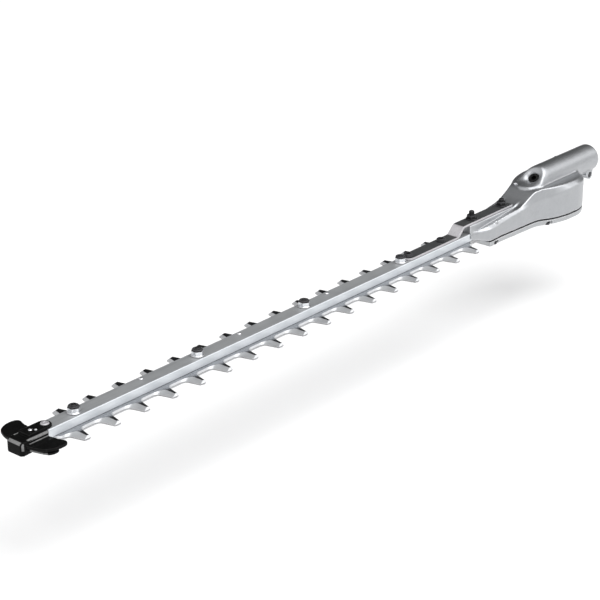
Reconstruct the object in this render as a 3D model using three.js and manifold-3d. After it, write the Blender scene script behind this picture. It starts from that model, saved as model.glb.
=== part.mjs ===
// Pole hedge-trimmer head: a double-sided reciprocating blade set under a guide bar, with a gear case
// whose socket takes the pole. Millimetres, +Z up. The origin is on the crank's axis, on the flat
// underside of the bottom cover. -X runs along the blades to the tip and +X runs to the pole.
import * as THREE from 'three';
import { mergeVertices } from 'three/addons/utils/BufferGeometryUtils.js';
import Module from 'manifold-3d';

const wasm = await Module();
wasm.setup();

// ---------------------------------------------------------------- driving dimensions
const GAP = 0.3;                       // clearance between pieces that touch
const TOOTH_PITCH = 35;
const NEAR_TEETH = 17;                 // teeth on the -Y side
const FAR_TEETH = 16;                  // teeth on the +Y side, set back by half a pitch
const FIRST_NEAR_TOOTH_X = -744.5;
const FIRST_FAR_TOOTH_X = -727.2;
const TOOTH_TIP_Y = 29.3;
const TOOTH_TIP_HALF = 3.5;
const TOOTH_ROOT_HALF = 10.5;
const SPINE_HALF = 13.2;
const BLADE_FRONT_X = -762;
const BLADE_SHOULDER_X = -172;
const BLADE_JOIN_X = -385.8;             // each blade is two lengths that move as one
const TANG_HALF = 8.5;
const ROD_PIN_X = -30;                 // where each connecting rod meets its blade
const LOWER_BLADE_Z = [7.6, 9.7];
const UPPER_BLADE_Z = [10.0, 12.1];
const STROKE_HALF = 8.75;              // crank throw: each blade moves this far both ways
const GUIDE_BOLT_X = [-732.2, -581, -432, -280];
const GUIDE_BOLT_R = 2.8;

const BAR_HALF = 8;
const BAR_X = [-768, -91];
const BAR_Z = [12.4, 20.4];

const COVER_TOP = 6.3;
const COVER_FLOOR = 3.2;
const COVER_FRONT_X = -143;
const GASKET_Z = [6.6, 7.3];
const CASE_BOTTOM = 7.6;
const WALL = 3.5;
const ROUND_R = 35.3;                  // half-width of the case's round part
const REAR_STRETCH = 1.08;             // its rear reaches this much further than a circle's
const DECK_R = 30;
const DECK_Z = 42.7;
const ROUND_WALL_TOP = 38.6;
const RIB_HALF = 8;
const RIB_TOP = 29.6;
const RIB_END_X = -91;

const TUBE_Z = 44.4;                   // axis of the pole socket
const TUBE_R = 15.4;
const TUBE_END_X = 75;
const POLE_BORE_R = 12.75;             // takes a pole of 25.4 mm

const FACE_GEAR_TEETH = 36;
const PINION_TEETH = 12;
const MESH_R = 23.5;                   // radius on the face gear where the pinion runs
const PINION_PITCH_R = MESH_R * PINION_TEETH / FACE_GEAR_TEETH;
const CRANK_R = 5;                     // the shaft above the eccentrics
const CRANK_CORE_R = 4;                // the shaft through the eccentrics
const ECCENTRIC_R = 13.2;
const ROD_RING_R = [13.5, 14.9];
const ROD_EYE_R = [15.2, 18.2];
const UPPER_ROD_Z = [12.4, 15.8];
const LOWER_ROD_Z = [3.9, 7.3];

// Cover screws, on the +Y side; each has a mirror image on the -Y side.
const COVER_SCREWS = [[-131, 13.4], [-43, 23.8], [27, 18.4]];
const BOSS_R = 3.7;                    // the bosses that those screws go through

const CASE_STUD_X = [-155.5, -99.5];
const CASE_STUD_TOP = [42.2, 40.3];
const BRACKET_SCREW_X = [-267, -210];
const BRACKET_THICK = 2.3;
const BRACKET_LOWER = [BAR_Z[1] + GAP, BAR_Z[1] + GAP + BRACKET_THICK];
const BRACKET_UPPER = [RIB_TOP + GAP, RIB_TOP + GAP + BRACKET_THICK];
const BRACKET_X = [-273.2, -189.5, -179.5, -87.5]; // front, foot of the ramp, its top, rear
const BRACKET_HALF = 6.7;
const RIVET_X = [-649, -521, -393.5];
const RIVET_Y = 3.6;
const TIP_BOLT_X = -764.8;
const TIP_RIVETS = [[-781.4, -0.7], [-778.2, -3.9]];

// ---------------------------------------------------------------- solids
function signedVolume(position, index) {
  let six = 0;
  for (let i = 0; i < index.length; i += 3) {
    const [a, b, c] = [0, 1, 2].map((k) => new THREE.Vector3().fromBufferAttribute(position, index[i + k]));
    six += a.dot(b.cross(c));
  }
  return six / 6;
}

function solid(geometry) {
  const bare = geometry.clone();
  for (const name of Object.keys(bare.attributes)) {
    if (name !== 'position') bare.deleteAttribute(name);
  }
  const merged = mergeVertices(bare, 1e-4);
  const raw = Array.from(merged.index.array);
  const index = [];
  for (let i = 0; i < raw.length; i += 3) {
    const [a, b, c] = raw.slice(i, i + 3);
    if (a !== b && b !== c && c !== a) index.push(a, b, c);
  }
  if (signedVolume(merged.attributes.position, index) < 0) index.reverse();
  return new wasm.Manifold(new wasm.Mesh({
    numProp: 3,
    vertProperties: new Float32Array(merged.attributes.position.array),
    triVerts: new Uint32Array(index),
  }));
}

const join = (...solids) => solids.reduce((a, b) => a.add(b));
const cut = (body, ...tools) => tools.reduce((a, b) => a.subtract(b), body);

function geometryOf(manifold) {
  const mesh = manifold.getMesh();
  const geometry = new THREE.BufferGeometry();
  geometry.setAttribute('position', new THREE.BufferAttribute(new Float32Array(mesh.vertProperties), 3));
  geometry.setIndex(new THREE.BufferAttribute(new Uint32Array(mesh.triVerts), 1));
  const flat = geometry.toNonIndexed();
  flat.computeVertexNormals();
  return flat;
}

function box([x0, x1], [y0, y1], [z0, z1]) {
  const geometry = new THREE.BoxGeometry(x1 - x0, y1 - y0, z1 - z0);
  return solid(geometry.translate((x0 + x1) / 2, (y0 + y1) / 2, (z0 + z1) / 2));
}

// A round bar or cone between two points along one of the three axes.
function rod(axis, r, from, to, [u, v] = [0, 0], sides = 20, endR = r) {
  const geometry = new THREE.CylinderGeometry(endR, r, to - from, sides);
  const middle = (from + to) / 2;
  if (axis === 'x') geometry.rotateZ(-Math.PI / 2).translate(middle, u, v);
  if (axis === 'y') geometry.translate(u, middle, v);
  if (axis === 'z') geometry.rotateX(Math.PI / 2).translate(u, v, middle);
  return solid(geometry);
}

function ring(axis, [inner, outer], from, to, centre = [0, 0], sides = 28) {
  return cut(rod(axis, outer, from, to, centre, sides), rod(axis, inner, from - 1, to + 1, centre, sides));
}

// A plan outline raised from z0 to z1.
function prism(points, [z0, z1]) {
  const shape = new THREE.Shape(points.map(([x, y]) => new THREE.Vector2(x, y)));
  const geometry = new THREE.ExtrudeGeometry(shape, { depth: z1 - z0, bevelEnabled: false });
  return solid(geometry.translate(0, 0, z0));
}

// A side outline in X and Z, spread over a range of Y.
function sidePrism(points, [y0, y1]) {
  const shape = new THREE.Shape(points.map(([x, z]) => new THREE.Vector2(x, z)));
  const geometry = new THREE.ExtrudeGeometry(shape, { depth: y1 - y0, bevelEnabled: false });
  return solid(geometry.rotateX(Math.PI / 2).translate(0, y1, 0));
}

// A slot with round ends along X.
function slot(x, halfLength, halfWidth, zRange) {
  const straight = halfLength - halfWidth;
  return join(
    box([x - straight, x + straight], [-halfWidth, halfWidth], zRange),
    rod('z', halfWidth, zRange[0], zRange[1], [x - straight, 0], 12),
    rod('z', halfWidth, zRange[0], zRange[1], [x + straight, 0], 12),
  );
}

// A body through cross-sections: each section is { x, ring }, and a ring is a closed list of [y, z].
function loft(sections) {
  const count = sections[0].ring.length;
  const position = sections.flatMap(({ x, ring: points }) => points.flatMap(([y, z]) => [x, y, z]));
  const index = [];
  for (let s = 0; s + 1 < sections.length; s += 1) {
    for (let k = 0; k < count; k += 1) {
      const a = s * count + k;
      const b = s * count + (k + 1) % count;
      index.push(a, b, b + count, a, b + count, a + count);
    }
  }
  for (const [s, flip] of [[0, false], [sections.length - 1, true]]) {
    const outline = sections[s].ring.map(([y, z]) => new THREE.Vector2(y, z));
    for (const face of THREE.ShapeUtils.triangulateShape(outline, [])) {
      const corners = face.map((k) => s * count + k);
      index.push(...(flip ? corners : corners.reverse()));
    }
  }
  const geometry = new THREE.BufferGeometry();
  geometry.setAttribute('position', new THREE.Float32BufferAttribute(position, 3));
  geometry.setIndex(index);
  return solid(geometry);
}

const mirrorY = (points) => points.map(([x, y]) => [x, -y]).reverse();
const bothSides = (half) => [...half, ...mirrorY(half)];
const hexagon = (acrossFlats, from, to, centre, axis = 'z') =>
  rod(axis, acrossFlats / Math.sqrt(3), from, to, centre, 6);

// ---------------------------------------------------------------- gear case outline
// Stations along the case, as [x, halfWidth, underside, wallTop, deckHalfWidth, deckHeight].
const FRONT_STATIONS = [
  [-168, 9.0, 14.0, 18.4, 8.4, 21.4],
  [-155, 13.2, 10.8, 19.6, 10.2, 22.6],
  [-141, 17.5, CASE_BOTTOM, 21.0, 12.8, 24.2],
  [-121, 17.2, CASE_BOTTOM, 22.2, 13.6, 26.0],
  [-101, 18.1, CASE_BOTTOM, 25.0, 14.6, 28.2],
  [-86, 18.7, CASE_BOTTOM, 26.8, 15.3, 29.6],
  [-76, 19.2, CASE_BOTTOM, 28.0, 15.9, 32.8],
  [-66, 19.6, CASE_BOTTOM, 29.4, 16.4, 37.4],
  [-58, 20.6, CASE_BOTTOM, 30.4, 17.4, 40.8],
  [-51, 23.0, CASE_BOTTOM, 31.4, 19.4, 42.0],
  [-43, 27.6, CASE_BOTTOM, 32.8, 23.2, 42.5],
  [-30, 32.0, CASE_BOTTOM, 35.2, 27.2, DECK_Z],
  [-14, 34.8, CASE_BOTTOM, 37.6, 29.6, DECK_Z],
  [0, ROUND_R, CASE_BOTTOM, ROUND_WALL_TOP, DECK_R, DECK_Z],
];
const DECK_SLOPE = (DECK_Z - ROUND_WALL_TOP) / (ROUND_R - DECK_R);
const REAR_ANGLES = [16, 31, 45, 57, 68, 78, 86];

function rearStation(degrees) {
  const along = ROUND_R * Math.sin(THREE.MathUtils.degToRad(degrees));
  const half = Math.sqrt(ROUND_R * ROUND_R - along * along);
  const deckHalf = Math.sqrt(Math.max(DECK_R * DECK_R - along * along, 1));
  const deckZ = DECK_Z - Math.max(0, along - DECK_R) * DECK_SLOPE;
  return [along * REAR_STRETCH, half, CASE_BOTTOM, ROUND_WALL_TOP, Math.min(deckHalf, half * 0.9), deckZ];
}

const mirrored = (side) => [...side, ...side.map(([y, z]) => [-y, z]).reverse()];

function outerSection([x, half, underside, wallTop, deckHalf, deckZ]) {
  const ribbed = x < RIB_END_X + 10;
  const rib = Math.max(RIB_TOP, deckZ);
  const groove = ribbed ? deckZ - 1.6 : deckZ;
  const inner = Math.min(RIB_HALF, deckHalf * 0.9);
  const foot = Math.min(RIB_HALF + 0.4, deckHalf * 0.95);
  return {
    x,
    ring: mirrored([[half, underside], [half, wallTop], [deckHalf, deckZ], [foot, groove], [inner, rib]]),
  };
}

// The room for the gears: the case's own shape, less the thickness of its walls.
function roomSection([x, half, , wallTop, deckHalf]) {
  const inside = half - WALL;
  const roof = x < -50 ? 30 : DECK_Z - WALL;
  return { x, ring: mirrored([[inside, CASE_BOTTOM - 1], [inside, wallTop - 1.6], [deckHalf - 1.4, roof]]) };
}

function rearRoomSection(degrees) {
  const angle = THREE.MathUtils.degToRad(degrees);
  const r = ROUND_R - WALL;
  const half = r * Math.cos(angle);
  const x = (ROUND_R * REAR_STRETCH - WALL) * Math.sin(angle);
  return roomSection([x, half + WALL, CASE_BOTTOM, ROUND_WALL_TOP, half * 0.9 + 1.4]);
}

// The plan outline at the seam, brought in by an inset, from a front line to the rear.
function seamOutline(inset, frontX) {
  const half = [];
  const frontHalf = 17.4 - inset;
  half.push([frontX + inset, frontHalf]);
  for (const [x, w] of FRONT_STATIONS) {
    if (x > frontX + inset + 4) half.push([x, w - inset]);
  }
  const r = ROUND_R - inset;
  for (const degrees of [12, 24, 36, 48, 60, 72, 84]) {
    const angle = THREE.MathUtils.degToRad(degrees);
    half.push([(ROUND_R * REAR_STRETCH - inset) * Math.sin(angle), r * Math.cos(angle)]);
  }
  return bothSides(half);
}

const screwPlaces = COVER_SCREWS.flatMap(([x, y]) => [[x, y], [x, -y]]);
const outward = (y) => (y > 0 ? 1 : -1);

// ---------------------------------------------------------------- gear case
function socketAndBoss() {
  const tube = rod('x', TUBE_R, -38, TUBE_END_X, [0, TUBE_Z], 36);
  const circle = (r, z, squash) => Array.from({ length: 20 }, (unused, k) => {
    const a = k * Math.PI / 10;
    return [r * Math.cos(a), z + r * squash * Math.sin(a)];
  });
  const nose = loft([
    { x: -59.4, ring: circle(3.6, 39.8, 0.7) },
    { x: -57.6, ring: circle(7.4, 40.2, 0.8) },
    { x: -52, ring: circle(11.4, 41, 0.9) },
    { x: -45, ring: circle(16, 42.6, 1) },
    { x: -36, ring: circle(TUBE_R, TUBE_Z, 1) },
  ]);
  // The slope that the plug sits in, running out into a low lip at the front.
  const slope = sidePrism([[-29.5, 60.2], [-47, 44.9], [-60, 43.3], [-68, 42], [-68, 70], [-29.5, 70]], [-24, 24]);
  return cut(join(tube, nose), slope);
}

// Everything on the plug's tilted axis is made upright at the origin, then leaned forward.
const PLUG_CENTRE = new THREE.Vector3(-39.7, 0, 51);
const PLUG_LEAN = THREE.MathUtils.degToRad(-40);
const DECK_PIN = [-53.4, 13];

function onPlugAxis(geometry) {
  return solid(geometry.rotateX(Math.PI / 2).rotateY(PLUG_LEAN).translate(...PLUG_CENTRE));
}

function plugCutters() {
  const crater = new THREE.CylinderGeometry(9.8, 6, 3.4, 24).translate(0, -1.4, 0);
  const hole = new THREE.CylinderGeometry(5.6, 5.6, 12, 20).translate(0, -7, 0);
  const passage = new THREE.CylinderGeometry(2.6, 2.6, 30, 12).translate(0, -22, 0);
  return [crater, hole, passage].map(onPlugAxis);
}

function gearCase() {
  const shell = loft([...FRONT_STATIONS, ...REAR_ANGLES.map(rearStation)].map(outerSection));
  const lug = join(
    rod('y', 5, -10, 10, [67, 26.6]),
    box([59, 72], [-10, 10], [26.6, 32]),
  );
  const screwBosses = screwPlaces.map(([x, y]) => rod('z', BOSS_R, CASE_BOTTOM, 17, [x, y], 12));
  const room = loft([
    ...FRONT_STATIONS.filter(([x]) => x >= -58).map(roomSection),
    ...REAR_ANGLES.map(rearRoomSection),
  ]);
  const hollow = cut(
    join(shell, socketAndBoss(), lug),
    room,
    box([-170, -56], [-TANG_HALF - 0.7, TANG_HALF + 0.7], [CASE_BOTTOM - 1, UPPER_BLADE_Z[1] + GAP]),
    box([-170, BAR_X[1] + GAP], [-BAR_HALF - GAP, BAR_HALF + GAP], [CASE_BOTTOM + 1, BAR_Z[1] + GAP]),
    rod('x', 10, 12, 31, [0, TUBE_Z], 24),
    box([12, 31], [-10, 10], [30, TUBE_Z]),
  );
  const clear = cut(
    join(hollow, ...screwBosses, rod('z', 14.5, 38.2, 44, [0, 0], 24)),
    ...screwPlaces.map(([x, y]) => rod('z', 1.9, CASE_BOTTOM - 1, 15.5, [x, y], 10)),
    ...CASE_STUD_X.map((x) => rod('z', 3.3, 18, 34, [x, 0], 16)),
    rod('z', 11.3, 30, 45.8, [0, 0], 28),
    rod('x', 11.3, 28, 44, [0, TUBE_Z], 28),
    rod('x', POLE_BORE_R, 43.5, TUBE_END_X + 1, [0, TUBE_Z], 36),
    box([56, TUBE_END_X + 1], [-1, 1], [20, TUBE_Z]),
    rod('y', 3.3, -12, 12, [67, 26.6], 16),
    rod('z', 1.6, 40, 46, DECK_PIN, 12),
    ...plugCutters(),
  );
  return clear;
}

function bottomCover() {
  const tray = cut(
    prism(seamOutline(0, COVER_FRONT_X), [0, COVER_TOP]),
    prism(seamOutline(WALL, COVER_FRONT_X), [COVER_FLOOR, COVER_TOP + 1]),
  );
  const bosses = screwPlaces.map(([x, y]) => rod('z', BOSS_R, 1, COVER_TOP, [x, y], 12));
  const notches = screwPlaces.map(([x, y]) => join(
    rod('z', 3.6, -1, 3.4, [x, y], 12),
    box([x - 3.6, x + 3.6], outward(y) > 0 ? [y, y + 12] : [y - 12, y], [-1, 3.4]),
  ));
  return cut(
    join(tray, ...bosses),
    ...notches,
    ...screwPlaces.map(([x, y]) => rod('z', 1.9, 0, COVER_TOP + 1, [x, y], 10)),
    rod('z', 8.3, 1.4, COVER_FLOOR + 1, [0, 0], 24),
  );
}

function coverGasket() {
  const band = cut(
    prism(seamOutline(0.3, COVER_FRONT_X), GASKET_Z),
    prism(seamOutline(WALL, COVER_FRONT_X), [GASKET_Z[0] - 1, GASKET_Z[1] + 1]),
  );
  const pads = screwPlaces.map(([x, y]) => rod('z', BOSS_R - 0.2, GASKET_Z[0], GASKET_Z[1], [x, y], 12));
  return cut(
    join(band, ...pads),
    ...screwPlaces.map(([x, y]) => rod('z', 2, GASKET_Z[0] - 1, GASKET_Z[1] + 1, [x, y], 10)),
  );
}

function coverScrew(x, y) {
  return cut(
    join(rod('z', 3, 0.5, 3.1, [x, y], 14), rod('z', 1.6, 3, 15, [x, y], 8)),
    hexagon(3, -1, 1.8, [x, y]),
  );
}

// ---------------------------------------------------------------- blades, bar and bracket
function teeth(firstX, count) {
  return Array.from({ length: count }, (unused, k) => {
    const x = firstX + k * TOOTH_PITCH;
    return [
      [x - TOOTH_ROOT_HALF, SPINE_HALF], [x - 7.2, SPINE_HALF + 2.2], [x - TOOTH_TIP_HALF, TOOTH_TIP_Y],
      [x + TOOTH_TIP_HALF, TOOTH_TIP_Y], [x + 7.2, SPINE_HALF + 2.2], [x + TOOTH_ROOT_HALF, SPINE_HALF],
    ];
  }).flat();
}

function blade(zRange) {
  const front = [[BLADE_FRONT_X, 9.5], [BLADE_FRONT_X + 4, SPINE_HALF]];
  const tang = [[BLADE_SHOULDER_X, SPINE_HALF], [BLADE_SHOULDER_X + 4, TANG_HALF], [ROD_PIN_X, TANG_HALF]];
  const near = [...front, ...teeth(FIRST_NEAR_TOOTH_X, NEAR_TEETH), ...tang];
  const far = [...front, ...teeth(FIRST_FAR_TOOTH_X, FAR_TEETH), ...tang];
  const outline = [...near.map(([x, y]) => [x, -y]), ...far.reverse()];
  const tools = [
    rod('z', 3.6, zRange[0] - 1, zRange[1] + 1, [ROD_PIN_X, 0], 16),
    ...GUIDE_BOLT_X.map((x) => slot(x, STROKE_HALF + 3.5, 3.2, [zRange[0] - 1, zRange[1] + 1])),
  ];
  const whole = cut(
    join(prism(outline, zRange), rod('z', TANG_HALF, zRange[0], zRange[1], [ROD_PIN_X, 0], 24)),
    ...tools,
  );
  return {
    front: cut(whole, box([BLADE_JOIN_X - GAP / 2, 0], [-40, 40], [0, 20])),
    rear: cut(whole, box([-800, BLADE_JOIN_X + GAP / 2], [-40, 40], [0, 20])),
  };
}

function guideBar() {
  const chamfer = 1.1;
  const [z0, z1] = BAR_Z;
  const half = [[BAR_HALF, z0], [BAR_HALF, z1 - chamfer], [BAR_HALF - chamfer, z1]];
  const section = [...half, ...half.map(([y, z]) => [-y, z]).reverse()];
  const holes = [
    ...GUIDE_BOLT_X.map((x) => rod('z', GUIDE_BOLT_R + GAP, z0 - 1, z1 + 1, [x, 0], 16)),
    ...CASE_STUD_X.map((x) => rod('z', 3.3, z0 + 1.4, z1 + 1, [x, 0], 16)),
    ...BRACKET_SCREW_X.map((x) => rod('z', 2.8, z0 + 1.6, z1 + 1, [x, 0], 16)),
    rod('z', 2.5, z0 + 2, z1 + 1, [TIP_BOLT_X, 0], 12),
    ...RIVET_X.map((x) => rod('z', 1.3, z0 + 4, z1 + 1, [x, RIVET_Y], 8)),
  ];
  return cut(loft(BAR_X.map((x) => ({ x, ring: section }))), ...holes);
}

function barRivet(x) {
  return join(
    rod('z', 1, BAR_Z[0] + 4.3, BAR_Z[1] + 0.4, [x, RIVET_Y], 8),
    rod('z', 2, BAR_Z[1] + GAP, BAR_Z[1] + 1.1, [x, RIVET_Y], 14, 1.4),
  );
}

function barBracket() {
  const [lowBottom, lowTop] = BRACKET_LOWER;
  const [highBottom, highTop] = BRACKET_UPPER;
  const [front, rampFoot, rampTop, rear] = BRACKET_X;
  const side = [
    [front, lowBottom], [rampFoot + 2.6, lowBottom], [rampTop + 2.2, highBottom], [rear, highBottom],
    [rear, highTop], [rampTop, highTop], [rampFoot, lowTop], [front, lowTop],
  ];
  const roundFront = cut(box([front - 1, front + 5], [-9, 9], [lowBottom - 1, lowTop + 1]),
    rod('z', BRACKET_HALF, lowBottom - 2, lowTop + 2, [front + BRACKET_HALF, 0], 24));
  return cut(
    sidePrism(side, [-BRACKET_HALF, BRACKET_HALF]),
    roundFront,
    ...BRACKET_SCREW_X.map((x) => rod('z', 2.8, lowBottom - 1, lowTop + 1, [x, 0], 16)),
    ...CASE_STUD_X.map((x) => rod('z', 3.3, highBottom - 1, highTop + 1, [x, 0], 16)),
  );
}

// A long bolt under both blades: hexagon head, wide flange, shank up through the slots and the bar.
function guideBolt(x) {
  return join(
    hexagon(9, 3.4, 5.4, [x, 0]),
    rod('z', 6.8, 5.3, LOWER_BLADE_Z[0] - GAP, [x, 0], 20),
    rod('z', GUIDE_BOLT_R, 7, 27.8, [x, 0], 14),
    rod('z', GUIDE_BOLT_R, 27.8, 28.6, [x, 0], 14, 1.8),
  );
}

function flangeNut(x, bottom, height, bore, acrossFlats = 10) {
  return cut(
    join(
      rod('z', 6.3, bottom, bottom + 1.3, [x, 0], 18),
      hexagon(acrossFlats, bottom + 1.2, bottom + height, [x, 0]),
    ),
    rod('z', bore, bottom - 1, bottom + height + 1, [x, 0], 14),
  );
}

function bracketScrew(x) {
  const seat = BRACKET_LOWER[1] + GAP;
  return cut(
    join(rod('z', 5, seat, seat + 3.2, [x, 0], 20, 4.5), rod('z', 2.5, BAR_Z[0] + 2, seat + 1, [x, 0], 12)),
    hexagon(4, seat + 1.4, seat + 5, [x, 0]),
  );
}

function caseStud(x, top) {
  return join(
    rod('z', 3, BAR_Z[0] + 1.8, top - 0.8, [x, 0], 14),
    rod('z', 3, top - 0.8, top, [x, 0], 14, 2.2),
  );
}

// ---------------------------------------------------------------- tip guard
function tipGuard() {
  const upperWing = [
    [-768.6, 7], [-769.5, 14], [-770, 20], [-767, 28.5], [-768.6, 31.6], [-773, 33.2],
    [-781.6, 32.6], [-789.8, 28], [-794.4, 18], [-796, 8],
  ];
  const lowerWing = [
    [-776, 15], [-774.6, 27], [-777, 30.6], [-783, 31], [-787, 29], [-793.4, 9], [-790, 7], [-778, 7],
  ];
  const noseBlock = loft([
    { x: -799.4, ring: [[7.4, 7.6], [7.4, 17.6], [-7.4, 17.6], [-7.4, 7.6]] },
    { x: -798.2, ring: [[8.4, 7.4], [8.4, 18.8], [-8.4, 18.8], [-8.4, 7.4]] },
    { x: -796.6, ring: [[10.2, 7.4], [10.2, 19.8], [-10.2, 19.8], [-10.2, 7.4]] },
    { x: -789, ring: [[9.6, 7.4], [9.6, 20], [-9.6, 20], [-9.6, 7.4]] },
    { x: -784, ring: [[9.4, 7.4], [9.4, 20], [-9.4, 20], [-9.4, 7.4]] },
  ]);
  const cap = box([-785, BAR_X[0] - GAP], [-8.6, 8.6], [13, 20]);
  const tongue = join(
    box([-788, -766], [-6.8, 6.8], [19.5, 23]),
    rod('z', 6.8, BAR_Z[1] + GAP, 23, [-766, 0], 24),
  );
  const channel = box([-784, -740], [-14.6, 14.6], [0, UPPER_BLADE_Z[1] + 0.9]);
  // The upper wings rise from a low root beside the cap.
  const wedge = loft([-791.5, -766].map((x) => ({ x, ring: [[18, 17.4], [19, 18.6], [8.6, 18.6], [8.6, 15.6]] })));
  const underTongue = box([BAR_X[0] - GAP, -750], [-20, 20], [10, BAR_Z[1] + GAP]);
  return cut(
    join(
      noseBlock, cap, tongue,
      prism(bothSides(upperWing), [15, 17.4]),
      prism(bothSides(lowerWing), [11, 13]),
      ...[1, -1].map((side) => prism(
        [[-793.6, 8.5], [-789, 26], [-785, 25], [-788.6, 8.5]].map(([x, y]) => [x, side * y]),
        [11.4, 16],
      )),
    ),
    channel,
    underTongue,
    rod('z', 2.5, 10, 24, [TIP_BOLT_X, 0], 12),
    rod('z', 4.2, 21.7, 24, [TIP_BOLT_X, 0], 20),
    wedge,
    wedge.mirror([0, 1, 0]),
    ...TIP_RIVETS.map(([x, y]) => rod('z', 1.2, 19, 24, [x, y], 8)),
  );
}

// ---------------------------------------------------------------- drive train
function inputPinion() {
  const tipR = PINION_PITCH_R + 1.15;
  const rootR = PINION_PITCH_R - 1.5;
  const cog = (k) => {
    const tooth = new THREE.Shape([
      new THREE.Vector2(-0.85, rootR - 0.5), new THREE.Vector2(0.85, rootR - 0.5),
      new THREE.Vector2(0.32, tipR), new THREE.Vector2(-0.32, tipR),
    ]);
    const geometry = new THREE.ExtrudeGeometry(tooth, { depth: 6, bevelEnabled: false });
    geometry.rotateZ(Math.PI + k * 2 * Math.PI / PINION_TEETH);
    geometry.rotateY(Math.PI / 2).rotateX(Math.PI / 2);
    return solid(geometry.translate(20.5, 0, TUBE_Z));
  };
  const cogs = Array.from({ length: PINION_TEETH }, (unused, k) => cog(k));
  const splines = [0, 1, 2].map((k) => {
    const geometry = new THREE.BoxGeometry(4.2, 7.4, 1.5).rotateX(k * Math.PI / 3);
    return solid(geometry.translate(47.3, 0, TUBE_Z));
  });
  return join(
    rod('x', rootR, 19.5, 28, [0, TUBE_Z], 24),
    rod('x', 4.7, 27, 45.5, [0, TUBE_Z], 20),
    rod('x', 3, 45, 49.4, [0, TUBE_Z], 12),
    ...splines,
    ...cogs,
  );
}

const pinionBearing = (x0) => ring('x', [5, 11], x0, x0 + 6, [0, TUBE_Z]);

function pinionCirclip() {
  return cut(
    ring('x', [10.2, 12.4], 43.8, 45, [0, TUBE_Z]),
    box([43, 46], [-2.4, 2.4], [TUBE_Z + 5, TUBE_Z + 14]),
  );
}

function crankGear() {
  const profile = [[5.5, 20], [11, 20], [11, 29], [27.5, 30], [27.5, 34.2], [19, 34.2], [11, 33], [5.5, 33]];
  const blank = solid(new THREE.LatheGeometry(
    [...profile, profile[0]].map(([r, z]) => new THREE.Vector2(r, z)), 40,
  ).rotateX(Math.PI / 2));
  const pitchZ = TUBE_Z - PINION_PITCH_R;
  const cogs = Array.from({ length: FACE_GEAR_TEETH }, (unused, k) => {
    const tooth = new THREE.Shape([
      new THREE.Vector2(-0.85, 34), new THREE.Vector2(0.85, 34),
      new THREE.Vector2(0.35, pitchZ + 1), new THREE.Vector2(-0.35, pitchZ + 1),
    ]);
    const geometry = new THREE.ExtrudeGeometry(tooth, { depth: 7.6, bevelEnabled: false });
    geometry.rotateX(Math.PI / 2).rotateZ(Math.PI / 2).translate(19.4, 0, 0);
    return solid(geometry.rotateZ((k + 0.5) * 2 * Math.PI / FACE_GEAR_TEETH));
  });
  return join(blank, ...cogs);
}

function crankShaft() {
  const lower = [LOWER_ROD_Z[0], LOWER_ROD_Z[1]];
  const upper = [UPPER_ROD_Z[0], UPPER_ROD_Z[1]];
  return join(
    rod('z', 6, 1.9, lower[0] - GAP),
    rod('z', CRANK_CORE_R, 3, 20),
    rod('z', ECCENTRIC_R, ...lower, [0, -STROKE_HALF], 28),
    rod('z', 9, lower[1] + GAP, upper[0] - GAP),
    rod('z', ECCENTRIC_R, ...upper, [0, STROKE_HALF], 28),
    rod('z', 9, upper[1] + GAP, 19.7),
    rod('z', CRANK_R, 19, 45.2),
  );
}

// side is +1 for the rod whose eccentric lies on +Y at rest.
function connectingRod(zRange, side) {
  const eyeY = side * STROKE_HALF;
  const [z0, z1] = zRange;
  const arm = prism([
    [ROD_PIN_X, -4.4], [-4, eyeY - 9], [-4, eyeY + 9], [ROD_PIN_X, 4.4],
  ], zRange);
  return cut(
    join(arm, rod('z', 6, z0, z1, [ROD_PIN_X, 0]), rod('z', ROD_EYE_R[1], z0, z1, [0, eyeY], 32)),
    rod('z', ROD_EYE_R[0], z0 - 1, z1 + 1, [0, eyeY], 32),
    rod('z', 3.5, z0 - 1, z1 + 1, [ROD_PIN_X, 0], 16),
  );
}

// ---------------------------------------------------------------- the object
const FINISH = {
  castAlloy: { color: 0xa9acb0, roughness: 0.48, metalness: 0.6 },
  barAlloy: { color: 0xc3c7cc, roughness: 0.35, metalness: 0.8 },
  bladeSteel: { color: 0xb4b8bc, roughness: 0.28, metalness: 0.9 },
  blackSteel: { color: 0x1d1e20, roughness: 0.42, metalness: 0.7 },
  zincSteel: { color: 0xd6d9dc, roughness: 0.25, metalness: 0.9 },
  bracketSteel: { color: 0x45484b, roughness: 0.5, metalness: 0.7 },
  gearSteel: { color: 0x8d9196, roughness: 0.35, metalness: 0.85 },
  bronze: { color: 0xa87d43, roughness: 0.4, metalness: 0.8 },
  rubber: { color: 0x18191a, roughness: 0.8, metalness: 0 },
};

const trimmerHead = new THREE.Group();

function add(name, manifold, finish) {
  const mesh = new THREE.Mesh(geometryOf(manifold), new THREE.MeshStandardMaterial(FINISH[finish]));
  mesh.name = name;
  trimmerHead.add(mesh);
}

add('gear_case', gearCase(), 'castAlloy');
add('bottom_cover', bottomCover(), 'castAlloy');
add('cover_gasket', coverGasket(), 'rubber');
screwPlaces.forEach(([x, y], k) => add(`cover_screw_${k + 1}`, coverScrew(x, y), 'blackSteel'));

add('guide_bar', guideBar(), 'barAlloy');
RIVET_X.forEach((x, k) => add(`bar_rivet_${k + 1}`, barRivet(x), 'zincSteel'));
for (const [name, zRange] of [['upper_blade', UPPER_BLADE_Z], ['lower_blade', LOWER_BLADE_Z]]) {
  const { front, rear } = blade(zRange);
  add(`${name}_front`, front, 'bladeSteel');
  add(`${name}_rear`, rear, 'bladeSteel');
}
GUIDE_BOLT_X.forEach((x, k) => {
  add(`guide_bolt_${k + 1}`, guideBolt(x), 'blackSteel');
  add(`guide_nut_${k + 1}`, flangeNut(x, BAR_Z[1] + GAP, 6.9, GUIDE_BOLT_R + GAP), 'zincSteel');
});

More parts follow.
